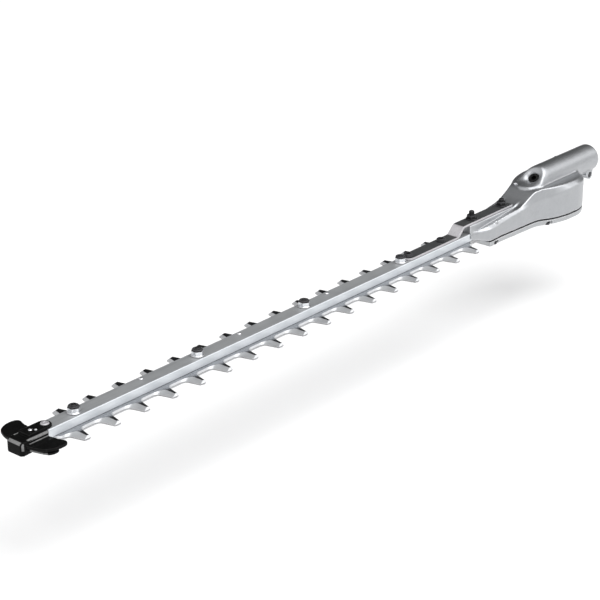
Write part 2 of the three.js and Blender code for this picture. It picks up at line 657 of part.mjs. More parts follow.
add('bar_bracket', barBracket(), 'bracketSteel');
BRACKET_SCREW_X.forEach((x, k) => add(`bracket_screw_${k + 1}`, bracketScrew(x), 'blackSteel'));
CASE_STUD_X.forEach((x, k) => {
  add(`case_stud_${k + 1}`, caseStud(x, CASE_STUD_TOP[k]), 'blackSteel');
  add(`case_nut_${k + 1}`, flangeNut(x, BRACKET_UPPER[1] + GAP, 5, 3.3), 'blackSteel');
});

add('tip_guard', tipGuard(), 'blackSteel');
add('tip_bolt', cut(
  join(rod('z', 3.9, 22, 23.6, [TIP_BOLT_X, 0], 20, 3.4), rod('z', 2.2, 15, 22.4, [TIP_BOLT_X, 0], 10)),
  hexagon(3, 22.7, 25, [TIP_BOLT_X, 0]),
), 'zincSteel');
TIP_RIVETS.forEach(([x, y], k) => add(`tip_rivet_${k + 1}`, join(
  rod('z', 0.9, 19.4, 23.6, [x, y], 8),
  rod('z', 1.8, 23.3, 24.3, [x, y], 14, 1.2),
), 'zincSteel'));

add('grease_plug', cut(
  onPlugAxis(new THREE.CylinderGeometry(5.2, 5.2, 6, 20).translate(0, -6.6, 0)),
  onPlugAxis(new THREE.CylinderGeometry(2.9, 2.9, 6, 6).translate(0, -3.8, 0)),
), 'blackSteel');
add('deck_pin', join(
  rod('z', 1.3, 40.6, 43, DECK_PIN, 10),
  rod('z', 1.9, 42.3, 43.5, DECK_PIN, 14, 1.4),
), 'zincSteel');
add('clamp_bolt', join(
  rod('y', 2.9, -9.6, 11, [67, 26.6], 12),
  hexagon(8, 10.3, 14, [67, 26.6], 'y'),
), 'blackSteel');

add('input_pinion', inputPinion(), 'gearSteel');
add('front_pinion_bearing', pinionBearing(29), 'zincSteel');
add('rear_pinion_bearing', pinionBearing(36.5), 'zincSteel');
add('pinion_circlip', pinionCirclip(), 'blackSteel');
add('crank_gear', crankGear(), 'gearSteel');
add('crank_shaft', crankShaft(), 'gearSteel');
add('crank_top_bearing', ring('z', [5.3, 11], 38.6, 45), 'zincSteel');
add('crank_bottom_bush', ring('z', [6.3, 8], 1.7, 3.5), 'bronze');
for (const [level, zRange, side] of [['upper', UPPER_ROD_Z, 1], ['lower', LOWER_ROD_Z, -1]]) {
  add(`${level}_rod`, connectingRod(zRange, side), 'gearSteel');
  add(`${level}_rod_bearing`, ring('z', ROD_RING_R, zRange[0], zRange[1], [0, side * STROKE_HALF]), 'bronze');
  add(`${level}_rod_pin`, rod('z', 3.2, zRange[0], zRange[1], [ROD_PIN_X, 0], 16), 'zincSteel');
}

export default trimmerHead;
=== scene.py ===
"""Looks of the pole hedge-trimmer head. Lengths are in millimetres until a mesh is made, then in metres.

-X runs along the blades to the tip and +X to the pole socket. Z 0 is the flat underside of the bottom cover.
"""

import math

import bmesh
import bpy
import numpy as np
from mathutils import Matrix, Vector


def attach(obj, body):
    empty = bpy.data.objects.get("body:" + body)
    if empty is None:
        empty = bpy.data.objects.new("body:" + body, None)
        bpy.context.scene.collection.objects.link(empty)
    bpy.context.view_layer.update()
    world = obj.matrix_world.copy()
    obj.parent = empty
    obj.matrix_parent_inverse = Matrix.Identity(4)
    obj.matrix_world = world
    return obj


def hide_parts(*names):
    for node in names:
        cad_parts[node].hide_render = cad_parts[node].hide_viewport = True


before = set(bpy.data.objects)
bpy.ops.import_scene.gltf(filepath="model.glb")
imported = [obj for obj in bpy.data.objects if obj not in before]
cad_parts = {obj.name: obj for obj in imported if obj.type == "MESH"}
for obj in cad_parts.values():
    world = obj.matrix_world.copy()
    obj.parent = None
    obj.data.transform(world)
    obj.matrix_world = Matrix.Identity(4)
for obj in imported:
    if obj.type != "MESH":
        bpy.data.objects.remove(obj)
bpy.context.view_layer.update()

MM = 0.001
HEAD = "head"


# ---------------------------------------------------------------- mesh tools
def link(name, mesh):
    obj = bpy.data.objects.new(name, mesh)
    bpy.context.scene.collection.objects.link(obj)
    return obj


def mesh_of(points, faces):
    mesh = bpy.data.meshes.new("work")
    mesh.from_pydata([[c * MM for c in p] for p in points], [], faces)
    bm = bmesh.new()
    bm.from_mesh(mesh)
    bmesh.ops.remove_doubles(bm, verts=bm.verts, dist=1e-7)
    bmesh.ops.recalc_face_normals(bm, faces=bm.faces)
    bm.to_mesh(mesh)
    bm.free()
    return mesh


def loft(rings, closed=False):
    """A skin through rings of equal length. Open ends are capped; closed joins the last ring to the first."""
    n = len(rings[0])
    points = [p for ring in rings for p in ring]
    spans = len(rings) if closed else len(rings) - 1
    faces = []
    for s in range(spans):
        a, b = s * n, (s + 1) % len(rings) * n
        faces += [(a + k, a + (k + 1) % n, b + (k + 1) % n, b + k) for k in range(n)]
    if not closed:
        faces.append(tuple(range(n - 1, -1, -1)))
        faces.append(tuple(range((len(rings) - 1) * n, len(rings) * n)))
    return mesh_of(points, faces)


PLACES = {
    "x": lambda u, v, h: (h, u, v),
    "y": lambda u, v, h: (u, h, v),
    "z": lambda u, v, h: (u, v, h),
}


def lathe(profile, centre=(0, 0, 0), axis="z", sides=48, closed=False):
    """A turned shape. An entry is (radius, height), or (radius, height, flats) where a hexagon that many
    millimetres across its flats trims it."""
    rings = []
    for entry in profile:
        r, h = entry[:2]
        ring = []
        for k in range(sides):
            a = 2 * math.pi * k / sides
            reach = r
            if len(entry) == 3:
                off = (a + math.pi / 6) % (math.pi / 3) - math.pi / 6
                reach = min(r, entry[2] / 2 / math.cos(off))
            at = PLACES[axis](reach * math.cos(a), reach * math.sin(a), h)
            ring.append([c + d for c, d in zip(centre, at)])
        rings.append(ring)
    return loft(rings, closed)


def cylinder(axis, r, start, end, centre=(0, 0, 0), sides=48):
    return lathe([(r, start), (r, end)], centre, axis, sides)


def block(xs, ys, zs):
    ring = [(ys[0], zs[0]), (ys[1], zs[0]), (ys[1], zs[1]), (ys[0], zs[1])]
    return loft([[(x, y, z) for y, z in ring] for x in xs])


def side_slab(outline, ys):
    return loft([[(x, y, z) for x, z in outline] for y in ys])


def rounded(points, trims, segments=4):
    """The outline with each corner replaced by a curve that leaves and rejoins it a trim away."""
    out = []
    count = len(points)
    for k, p in enumerate(points):
        p = np.array(p, float)
        trim = trims[k] if isinstance(trims, (list, tuple)) else trims
        if not trim:
            out += [tuple(p)] * (segments + 1)
            continue
        ends = []
        for q in (points[k - 1], points[(k + 1) % count]):
            way = np.array(q, float) - p
            length = np.linalg.norm(way)
            ends.append(p + way / length * min(trim, length * 0.49))
        for s in range(segments + 1):
            t = s / segments
            out.append(tuple((1 - t) ** 2 * ends[0] + 2 * t * (1 - t) * p + t * t * ends[1]))
    return out


def evaluated(obj):
    bpy.context.view_layer.update()
    graph = bpy.context.evaluated_depsgraph_get()
    return bpy.data.meshes.new_from_object(obj.evaluated_get(graph))


def combine(base, tools, operation):
    body = link("work", base)
    spare = [link("tool", t) for t in tools]
    for tool in spare:
        step = body.modifiers.new("step", "BOOLEAN")
        step.operation = operation
        step.solver = "MANIFOLD"
        step.object = tool
    result = evaluated(body)
    for obj in [body, *spare]:
        bpy.data.objects.remove(obj)
    return result


def cut(base, *tools):
    return combine(base, tools, "DIFFERENCE")


def join(base, *others):
    return combine(base, others, "UNION")


def moved(mesh, matrix):
    mesh.transform(matrix)
    return mesh


def coordinates(mesh):
    co = np.empty(len(mesh.vertices) * 3)
    mesh.vertices.foreach_get("co", co)
    return co.reshape(-1, 3) / MM


def relax(mesh, steps, strength=None):
    """Softens the mesh. strength is a number for each vertex, from 0 to 1."""
    co = coordinates(mesh)
    n = len(co)
    ends = np.empty(len(mesh.edges) * 2, int)
    mesh.edges.foreach_get("vertices", ends)
    a, b = ends.reshape(-1, 2).T
    degree = np.bincount(a, minlength=n) + np.bincount(b, minlength=n)
    pull = 0.5 if strength is None else 0.5 * strength[:, None]
    for _ in range(steps):
        average = np.stack([
            np.bincount(a, co[b, k], n) + np.bincount(b, co[a, k], n) for k in range(3)
        ], 1) / degree[:, None]
        co += pull * (average - co)
    mesh.vertices.foreach_set("co", (co * MM).ravel())
    mesh.update()
    return mesh


def cast(mesh, voxel, steps=4):
    """Remeshes a body evenly, so that its edges come out as soft as a casting's or a moulding's."""
    obj = link("work", mesh)
    even = obj.modifiers.new("even", "REMESH")
    even.mode = "VOXEL"
    even.voxel_size = voxel * MM
    even.use_smooth_shade = True
    result = evaluated(obj)
    bpy.data.objects.remove(obj)
    return relax(result, steps)


def piece(name, mesh, body, slot, materials, stands_for=(), ease=0.0, sharp=35, smooth=False):
    mesh.name = name
    obj = link(name, mesh)
    chosen = [polygon.material_index for polygon in mesh.polygons]
    mesh.materials.clear()
    for material in materials:
        mesh.materials.append(material)
    mesh.polygons.foreach_set("material_index", chosen)
    mesh.shade_smooth()
    if not smooth:
        mesh.set_sharp_from_angle(angle=math.radians(sharp))
    if ease:
        soft = obj.modifiers.new("ease", "BEVEL")
        soft.width = ease * MM
        soft.segments = 2
        soft.limit_method = "ANGLE"
        soft.angle_limit = math.radians(sharp)
        soft.harden_normals = True
    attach(obj, body)
    if stands_for:
        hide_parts(*stands_for)
    return obj


def paint(mesh, choose):
    """Gives each face the material index that choose(face) returns."""
    for face in mesh.polygons:
        face.material_index = choose(face)


def near(value, centre, width):
    """1 where value is at the centre, and next to 0 from twice the width away."""
    return np.exp(-((value - centre) / width) ** 2)


# ---------------------------------------------------------------- materials
class Nodes:
    """A small helper round one node tree."""

    def __init__(self, tree):
        self.tree = tree

    def add(self, kind, inputs=None, **settings):
        node = self.tree.nodes.new(kind)
        for key, value in settings.items():
            setattr(node, key, value)
        for key, value in (inputs or {}).items():
            if isinstance(value, bpy.types.NodeSocket):
                self.tree.links.new(value, node.inputs[key])
            else:
                node.inputs[key].default_value = value
        return node

    def link(self, a, b):
        self.tree.links.new(a, b)

    def ramp(self, factor, stops):
        node = self.add("ShaderNodeValToRGB", {"Fac": factor})
        band = node.color_ramp
        while len(band.elements) < len(stops):
            band.elements.new(0.5)
        for element, (position, value) in zip(band.elements, stops):
            element.position = position
            element.color = (value, value, value, 1) if isinstance(value, float) else (*value, 1)
        return node.outputs["Color"]

    def mix(self, factor, a, b):
        node = self.add("ShaderNodeMix", data_type="RGBA", blend_type="MIX")
        for socket, value in ((0, factor), (6, a), (7, b)):
            if isinstance(value, bpy.types.NodeSocket):
                self.link(value, node.inputs[socket])
            else:
                node.inputs[socket].default_value = value if socket == 0 else (*value, 1)
        return node.outputs[2]

    def noise(self, vector, scale, detail=4.0, roughness=0.55):
        return self.add("ShaderNodeTexNoise", {
            "Vector": vector, "Scale": scale, "Detail": detail, "Roughness": roughness,
        }).outputs["Fac"]

    def span(self, value, low, high, start=0.0, end=1.0):
        return self.add("ShaderNodeMapRange", {
            "Value": value, "From Min": start, "From Max": end, "To Min": low, "To Max": high,
        }).outputs["Result"]

    def maths(self, operation, a, b=0.0):
        node = self.add("ShaderNodeMath", operation=operation)
        for k, value in enumerate((a, b)):
            if isinstance(value, bpy.types.NodeSocket):
                self.link(value, node.inputs[k])
            else:
                node.inputs[k].default_value = value
        return node.outputs[0]


def surface(name, tones, metallic, gloss, grain=(400, 400, 400), mottle=60.0, bump=0.02, fine=2600.0,
            edge=None, sheen_and_wear=None, specular=0.5, tint=None):
    """A procedural material.

    tones: darker and lighter colour. gloss: lowest and highest roughness. grain: streaks per metre along each
    axis. mottle and fine: patches and speckles per metre. bump: relief in millimetres. edge: colour of rubbed
    edges. sheen_and_wear: (attribute, colour, added roughness) where the mesh is marked, a painted highlight
    together with wear.
    """
    material = bpy.data.materials.new(name)
    material.use_nodes = True
    tree = material.node_tree
    n = Nodes(tree)
    shader = tree.nodes["Principled BSDF"]
    shader.inputs["Metallic"].default_value = metallic
    shader.inputs["Specular IOR Level"].default_value = specular
    where = n.add("ShaderNodeTexCoord").outputs["Object"]
    stretched = n.add("ShaderNodeMapping", {"Vector": where, "Scale": grain}).outputs["Vector"]
    streaks = n.noise(stretched, 1.0, 6.0, 0.62)
    patches = n.noise(where, mottle, 5.0, 0.6)
    speckle = n.noise(where, fine, 2.0, 0.5)
    blend = n.maths("ADD", n.maths("MULTIPLY", streaks, 0.6), n.maths("MULTIPLY", patches, 0.4))
    colour = n.mix(n.ramp(blend, [(0.3, 0.0), (0.7, 1.0)]), *tones)
    rough = n.span(blend, gloss[0], gloss[1], 0.3, 0.7)
    if tint:
        colour = tint(n, where, colour)
    if edge:
        corner = n.add("ShaderNodeNewGeometry").outputs["Pointiness"]
        convex = n.ramp(corner, [(0.51, 0.0), (0.56, 1.0)])
        rubbed = n.maths("MULTIPLY", convex, n.ramp(patches, [(0.3, 0.35), (0.6, 1.0)]))
        colour = n.mix(rubbed, colour, edge)
    # Where the mesh is marked, a lighter colour is painted on: a painted highlight for the glints on edges,
    # together with wear.
    if sheen_and_wear:
        marked = n.add("ShaderNodeAttribute", attribute_name=sheen_and_wear[0]).outputs["Fac"]
        uneven = n.maths("MULTIPLY", marked, n.ramp(streaks, [(0.25, 0.55), (0.6, 1.0)]))
        colour = n.mix(uneven, colour, sheen_and_wear[1])
        rough = n.maths("ADD", rough, n.maths("MULTIPLY", uneven, sheen_and_wear[2]))
    n.link(colour, shader.inputs["Base Color"])
    n.link(rough, shader.inputs["Roughness"])
    height = n.maths("ADD", n.maths("MULTIPLY", speckle, 0.5), n.maths("MULTIPLY", streaks, 0.5))
    relief = n.add("ShaderNodeBump", {"Height": height, "Strength": 1.0, "Distance": bump * MM})
    n.link(relief.outputs["Normal"], shader.inputs["Normal"])
    return material


TOOTH_ROOT_M = 0.0145
TOOTH_BLADE_M = 0.0185
HARDENED_STEEL = (0.055, 0.056, 0.06)


def hardened(n, where, colour):
    """Darker steel on the teeth, which are hardened, than along the blade's spine."""
    y = n.maths("ABSOLUTE", n.add("ShaderNodeSeparateXYZ", {"Vector": where}).outputs["Y"])
    share = n.span(y, 0.0, 1.0, TOOTH_ROOT_M, TOOTH_BLADE_M)
    return n.mix(share, colour, HARDENED_STEEL)


CAST = surface("cast_silver", [(0.38, 0.39, 0.405), (0.44, 0.45, 0.465)], 0.94, (0.32, 0.38), mottle=90,
               bump=0.018, fine=1500, edge=(0.72, 0.73, 0.75))
COVER = surface("cast_silver_cover", [(0.4, 0.41, 0.42), (0.48, 0.49, 0.5)], 0.9, (0.36, 0.44), mottle=80,
                bump=0.025, fine=1500, edge=(0.7, 0.71, 0.73))
RUBBER = surface("gasket_black", [(0.012, 0.012, 0.013), (0.03, 0.03, 0.032)], 0.0, (0.6, 0.8), bump=0.05)
# The bar's top is given a darker tone than its sides: painted shade, since the flat top looks dark in this
# light; both are the same alloy.
BAR_TOP_PAINTED_SHADE = surface("bar_top_painted_shade", [(0.33, 0.34, 0.35), (0.42, 0.43, 0.44)], 0.55, (0.46, 0.58),
                  grain=(9, 900, 900), bump=0.02)
BAR_SIDE = surface("bar_side_drawn", [(0.62, 0.65, 0.68), (0.7, 0.73, 0.76)], 0.5, (0.4, 0.48),
                   grain=(16, 700, 1500), bump=0.02)
BLADE_FLAT = surface("blade_flat_ground", [(0.3, 0.31, 0.33), (0.42, 0.43, 0.45)], 0.9, (0.22, 0.34),
                     grain=(1200, 60, 300), bump=0.012, tint=hardened)
BLADE_BEVEL = surface("blade_bevel_ground", [(0.46, 0.47, 0.49), (0.64, 0.65, 0.66)], 0.55, (0.32, 0.44),
                      grain=(1800, 120, 500), bump=0.015)
BLADE_SIDE = surface("blade_side_cut", [(0.4, 0.4, 0.41), (0.6, 0.6, 0.61)], 0.85, (0.32, 0.45),
                     grain=(1500, 900, 60), bump=0.02)
# The bracket's flat tops get a near-black steel: painted shade, since flat tops look dark in this light; its
# other faces get the bare steel below.
BRACKET_TOP_PAINTED_SHADE = surface("bracket_top_painted_shade", [(0.045, 0.047, 0.048), (0.075, 0.078, 0.08)], 0.35, (0.42, 0.56),
                       grain=(160, 500, 500), mottle=150, bump=0.04)
BRACKET_BARE = surface("bracket_bare_steel", [(0.46, 0.45, 0.47), (0.62, 0.61, 0.63)], 0.6, (0.36, 0.5),
                       grain=(300, 900, 300), mottle=150, bump=0.03)
BLACK_STEEL = surface("fastener_black_oxide", [(0.004, 0.004, 0.0045), (0.011, 0.011, 0.012)], 0.1,
                      (0.22, 0.34), bump=0.015, edge=(0.06, 0.06, 0.065), specular=0.18)
ZINC = surface("fastener_zinc", [(0.6, 0.62, 0.65), (0.82, 0.84, 0.87)], 0.85, (0.2, 0.34), bump=0.02,
               edge=(0.9, 0.9, 0.92))
# The guard's marked bands get a light grey: a painted highlight for the glints on its chamfers and edges,
# together with wear.
GUARD_BLACK = surface("guard_black_coat", [(0.002, 0.002, 0.002), (0.006, 0.006, 0.006)], 0.0, (0.36, 0.5),
                      mottle=200, bump=0.05, fine=2200, edge=(0.02, 0.02, 0.02),
                      sheen_and_wear=("glint_and_wear", (0.22, 0.22, 0.22), 0.1), specular=0.05)
GEAR = surface("gear_steel", [(0.4, 0.4, 0.42), (0.56, 0.56, 0.58)], 0.9, (0.25, 0.4), bump=0.015)
BEARING = surface("bearing_steel", [(0.55, 0.56, 0.58), (0.72, 0.73, 0.75)], 0.95, (0.14, 0.24), bump=0.006)
BRONZE = surface("bush_bronze", [(0.42, 0.25, 0.09), (0.6, 0.4, 0.17)], 0.9, (0.3, 0.45), bump=0.02)


# ---------------------------------------------------------------- gear case
COVER_TOP = 6.3
CASE_BOTTOM = 7.6
WALL = 3.5
ROUND_R = 35.3
REAR_STRETCH = 1.08
DECK_R = 30.0
DECK_Z = 42.7
ROUND_WALL_TOP = 38.6
RIB_HALF = 8.0
RIB_TOP = 29.6
TUBE_Z = 44.4
TUBE_R = 15.4
TUBE_END = 75.0
TUBE_CENTRE = (0, 0, TUBE_Z)
POLE_BORE_R = 12.75
COVER_FRONT_X = -143.0
COVER_FRONT_HALF = 17.4
SCREWS = [(x, side * y) for x, y in ((-131, 13.4), (-43, 23.8), (27, 18.4)) for side in (1, -1)]
SCREW_BOSS_R = 3.7
SCREW_BORE_R = 1.9
CASE_STUD_X = (-155.5, -99.5)
CASE_STUD_HOLE_R = 3.3
CLAMP_AT = (67, 0, 26.6)
LUG_R = 5
LUG_HALF = 10
PLUG_CENTRE = (-39.7, 0, 51)
PLUG_LEAN = -40
PLUG_AXIS = (Matrix.Translation(Vector(PLUG_CENTRE) * MM)
             @ Matrix.Rotation(math.radians(PLUG_LEAN), 4, "Y"))
DECK_PIN_AT = (-53.4, 13)
# x, y, height and radius of the small round bosses cast on the case
DOTS = [(-129.4, -14.2, 25.4, 1.9), (-129.4, 14.2, 25.4, 1.9), (24, -15.5, 42.7, 2.0), (24, 15.5, 42.7, 2.0),
        (14, 5, 58.9, 1.7)]
# The slope that the plug sits in, running out into a low lip at the front: x, z.
SLOPE = [(-29.5, 60.2), (-34, 56.3), (-47, 44.9), (-50, 44.1), (-60, 43), (-68, 42), (-68, 70), (-29.5, 70)]
# The crater round the plug, its bore, and the passage below it: radius and height along the plug's axis.
CRATER = [(10.6, 1.0), (9.9, 0.2), (8.8, -1.0), (7.2, -2.2), (6.0, -3.1), (5.6, -3.8), (5.6, -13)]

# x, half-width, underside, top of the wall, half-width of the deck, height of the deck
STATIONS = np.array([
    (-168, 9.0, 14.0, 18.4, 8.4, 21.4),
    (-155, 13.2, 10.8, 19.6, 10.2, 22.6),
    (-141, 17.5, CASE_BOTTOM, 21.0, 12.8, 24.2),
    (-121, 17.2, CASE_BOTTOM, 22.2, 13.6, 26.0),
    (-101, 18.1, CASE_BOTTOM, 25.0, 14.6, 28.2),
    (-86, 18.7, CASE_BOTTOM, 26.8, 15.3, 29.6),
    (-76, 19.2, CASE_BOTTOM, 28.0, 15.9, 32.8),
    (-66, 19.6, CASE_BOTTOM, 29.4, 16.4, 37.4),
    (-58, 20.6, CASE_BOTTOM, 30.4, 17.4, 40.8),
    (-51, 23.0, CASE_BOTTOM, 31.4, 19.4, 42.0),
    (-43, 27.6, CASE_BOTTOM, 32.8, 23.2, 42.5),
    (-30, 32.0, CASE_BOTTOM, 35.2, 27.2, DECK_Z),
    (-14, 34.8, CASE_BOTTOM, 37.6, 29.6, DECK_Z),
    (0, ROUND_R, CASE_BOTTOM, ROUND_WALL_TOP, DECK_R, DECK_Z),
])


def glide(table, x):
    """The table's row at x, on a smooth curve through its rows that never overshoots them."""
    xs, ys = table[:, 0], table[:, 1:]
    steps = np.diff(xs)[:, None]
    rises = np.diff(ys, axis=0) / steps
    slopes = np.empty_like(ys)
    slopes[0], slopes[-1] = rises[0], rises[-1]
    before, after = rises[:-1], rises[1:]
    total = np.where(before + after == 0, 1, before + after)
    slopes[1:-1] = np.where(before * after > 0, 2 * before * after / total, 0)
    k = int(np.clip(np.searchsorted(xs, x) - 1, 0, len(xs) - 2))
    h = xs[k + 1] - xs[k]
    t = (x - xs[k]) / h
    return ((2 * t**3 - 3 * t**2 + 1) * ys[k] + (t**3 - 2 * t**2 + t) * h * slopes[k]
            + (3 * t**2 - 2 * t**3) * ys[k + 1] + (t**3 - t**2) * h * slopes[k + 1])


def both_sides(half):
    return half + [(-y, z) for y, z in reversed(half)]


def rear_station(degrees):
    along = ROUND_R * math.sin(math.radians(degrees))
    half = math.sqrt(ROUND_R**2 - along**2)
    deck_half = math.sqrt(max(DECK_R**2 - along**2, 1))
    slope = (DECK_Z - ROUND_WALL_TOP) / (ROUND_R - DECK_R)
    deck_z = DECK_Z - max(0, along - DECK_R) * slope
    return along * REAR_STRETCH, (half, CASE_BOTTOM, ROUND_WALL_TOP, min(deck_half, half * 0.9), deck_z)


def case_section(x, row):
    half, under, wall_top, deck_half, deck_z = row
    ribbed = min(max((-76 - x) / 10, 0), 1)
    groove = deck_z - 1.6 * ribbed
    foot = min(RIB_HALF + 0.4, deck_half * 0.95)
    inner = min(RIB_HALF, deck_half * 0.9)
    crest = max(RIB_TOP, deck_z)
    side = [(half, under), (half, wall_top), (deck_half, deck_z), (foot, groove), (inner, crest)]
    return [(x, y, z) for y, z in both_sides(side)]


def room_section(x, half, wall_top, deck_half, roof):
    side = [(half, CASE_BOTTOM - 1), (half, wall_top - 1.6), (deck_half - 1.4, roof)]
    return [(x, y, z) for y, z in both_sides(side)]


def case_shell():
    front = [(x, glide(STATIONS, x)) for x in (-168, -161.5, *np.arange(-155, 0.1, 2.5))]
    rear = [rear_station(a) for a in range(4, 89, 4)]
    return loft([case_section(x, row) for x, row in [*front, *rear]])


def case_room():
    sections = []
    for x in np.arange(-58, 0.1, 4):
        half, _, wall_top, deck_half, _ = glide(STATIONS, x)
        sections.append(room_section(x, half - WALL, wall_top, deck_half, 30 if x < -50 else DECK_Z - WALL))
    for a in range(8, 87, 6):
        angle = math.radians(a)
        half = (ROUND_R - WALL) * math.cos(angle)
        x = (ROUND_R * REAR_STRETCH - WALL) * math.sin(angle)
        sections.append(room_section(x, half, ROUND_WALL_TOP, half * 0.9 + 1.4, DECK_Z - WALL))
    return loft(sections)


def socket_nose():
    table = np.array([
        (-60.2, 1.2, 39.6, 0.6), (-59.4, 3.6, 39.8, 0.7), (-57.6, 7.4, 40.2, 0.8), (-52, 11.4, 41, 0.9),
        (-45, 16, 42.6, 1), (-36, TUBE_R, TUBE_Z, 1),
    ])
    rings = []
    for x in (-60.2, -59.8, -59.4, -58.8, -58.2, -57.6, -56, -54, -52, -50, -48, -45, -42, -39, -36):
        r, z, squash = glide(table, x)
        turn = [2 * math.pi * k / 64 for k in range(64)]
        rings.append([(x, r * math.cos(a), z + r * squash * math.sin(a)) for a in turn])
    return loft(rings)


def dot_boss(x, y, z, r):
    rings = [(0, -1.2), (r, -1.2), (r * 0.96, 0.2), (r * 0.75, 0.75), (r * 0.4, 1.0), (0, 1.05)]
    return lathe(rings, (x, y, z), sides=20)


def socket_tube():
    end = TUBE_END
    outside = [(TUBE_R, -38), (TUBE_R, end - 1.4), (TUBE_R - 0.4, end - 0.4), (TUBE_R - 1.3, end)]
    return join(lathe(outside, TUBE_CENTRE, "x", 96), socket_nose())


def case_outside():
    lug = join(
        cylinder("y", LUG_R, -LUG_HALF, LUG_HALF, CLAMP_AT),
        block((59, 72), (-LUG_HALF, LUG_HALF), (CLAMP_AT[2], 32)),
    )
    socket = cut(socket_tube(), side_slab(SLOPE, (-24, 24)))
    return join(case_shell(), socket, lug, *[dot_boss(*dot) for dot in DOTS])


def case_hollows():
    """The room for the gears, the slots for the blades and the bar, and the pinion's room."""
    return [
        case_room(),
        block((-170, -56), (-9.2, 9.2), (CASE_BOTTOM - 1, 12.4)),
        block((-170, -90.7), (-8.3, 8.3), (CASE_BOTTOM + 1, 20.7)),
        cylinder("x", 10, 12, 31, TUBE_CENTRE),
        block((12, 31), (-10, 10), (30, TUBE_Z)),
    ]


def case_bores():
    screws = [cylinder("z", SCREW_BORE_R, CASE_BOTTOM - 1, 15.5, (x, y, 0), 20) for x, y in SCREWS]
    studs = [cylinder("z", CASE_STUD_HOLE_R, 18, 34, (x, 0, 0), 24) for x in CASE_STUD_X]
    passage = cylinder("z", 2.6, -37, -7, sides=24)
    plug = [moved(tool, PLUG_AXIS) for tool in (lathe(CRATER, sides=64), passage)]
    r = POLE_BORE_R
    pole = [(r, 43.5), (r, TUBE_END - 1.2), (r + 0.85, TUBE_END + 0.4), (r + 0.85, TUBE_END + 2)]
    bearings = [cylinder("z", 11.3, 30, 45.8, sides=64), cylinder("x", 11.3, 28, 44, TUBE_CENTRE, 64)]
    clamp = [
        block((56, TUBE_END + 1), (-1, 1), (20, TUBE_Z)),
        cylinder("y", 3.3, -12, 12, CLAMP_AT, 32),
        cylinder("y", 4.1, -12, -9.2, CLAMP_AT, 32),
    ]
    deck_pin = cylinder("z", 1.6, 40, 46, (*DECK_PIN_AT, 0), 20)
    return [*screws, *studs, *plug, *bearings, lathe(pole, TUBE_CENTRE, "x", 96), *clamp, deck_pin]


def gear_case():
    hollow = cut(case_outside(), *case_hollows())
    bosses = [cylinder("z", SCREW_BOSS_R, CASE_BOTTOM, 17, (x, y, 0), 24) for x, y in SCREWS]
    bearing_seat = cylinder("z", 14.5, 38.2, 44, sides=48)
    solid = join(hollow, *bosses, bearing_seat)
    body = cast(cut(solid, *case_bores()), 0.75, 3)
    # Fillets: where the tube meets the deck, round the crater, on the lip before it and along the crown.
    x, y, z = coordinates(body).T
    beside_tube = near(np.abs(y), 15.5, 2.6) * near(z, DECK_Z, 2.6) * (x > -46) * (x < 40)
    crown = near(z, 42, 2.2) * (np.hypot(np.maximum(x, 0) / REAR_STRETCH, y) > 23) * (x < 34)
    relax(body, 26, np.clip(beside_tube * 1.6, 0, 1))
    to_plug = np.array(PLUG_AXIS.inverted())
    across, _, above = (to_plug @ np.stack([x * MM, y * MM, z * MM, np.ones(len(x))]))[:3] / MM
    rim = near(np.hypot(across, y), 11.5, 4.2) * (np.abs(above) < 6)
    lip = (x > -62) * (x < -46) * (z > 41) * (z < 46) * (np.abs(y) < 19)
    relax(body, 90, np.clip(np.maximum(rim * 1.4, lip * 0.35), 0, 1))
    return relax(body, 8, np.clip(crown, 0, 1))


# ---------------------------------------------------------------- bottom cover and gasket
def seam_outline(inset):
    """The line where case and cover meet, inset from the outside."""
    half = [(COVER_FRONT_X + inset, COVER_FRONT_HALF - inset)]
    half += [(x, glide(STATIONS, x)[0] - inset) for x in np.arange(-138, 0.1, 2)]
    for a in range(5, 90, 5):
        angle = math.radians(a)
        half.append(((ROUND_R * REAR_STRETCH - inset) * math.sin(angle), (ROUND_R - inset) * math.cos(angle)))
    return half + [(x, -y) for x, y in reversed(half)]


def plan(points, z):
    return [(x, y, z) for x, y in points]


SCREW_SEAT_R = 3.6
SCREW_SEAT_TOP = 3.4
# The notches of the front and middle screws open out at the cover's edge. The wider part starts this far from
# the middle of the cover, for each screw's x.
NOTCH_MOUTHS = {-131: 14.3, -43: 25.9}
NOTCH_MOUTH_HALF = 4.3
NOTCH_MOUTH_TOP = 4.6
NOTCH_REACH = 12


def notch(x, start, half, top):
    ys = sorted((start, start + math.copysign(NOTCH_REACH, start)))
    return block((x - half, x + half), ys, (-1, top))


def bottom_cover():
    levels = [(3.6, 0), (2.2, 0.15), (1.1, 0.7), (0.35, 1.7), (0, 3.0), (0, COVER_TOP)]
    tray = cut(
        loft([plan(seam_outline(inset), z) for inset, z in levels]),
        loft([plan(seam_outline(WALL), z) for z in (3.2, COVER_TOP + 1)]),
    )
    bosses = [cylinder("z", SCREW_BOSS_R, 1, COVER_TOP, (x, y, 0), 24) for x, y in SCREWS]
    tools = []
    for x, y in SCREWS:
        tools.append(cylinder("z", SCREW_SEAT_R, -1, SCREW_SEAT_TOP, (x, y, 0), 32))
        tools.append(notch(x, y, SCREW_SEAT_R, SCREW_SEAT_TOP))
        tools.append(cylinder("z", SCREW_BORE_R, 0, COVER_TOP + 1, (x, y, 0), 20))
        if x in NOTCH_MOUTHS:
            tools.append(notch(x, math.copysign(NOTCH_MOUTHS[x], y), NOTCH_MOUTH_HALF, NOTCH_MOUTH_TOP))
    bush_seat = cylinder("z", 8.3, 1.4, 4.2, sides=48)
    underside_dish = lathe([(24, -1), (24, 0.35), (23, 0.6), (0, 0.6)], sides=64)
    return cast(cut(join(tray, *bosses), *tools, bush_seat, underside_dish), 0.6, 2)


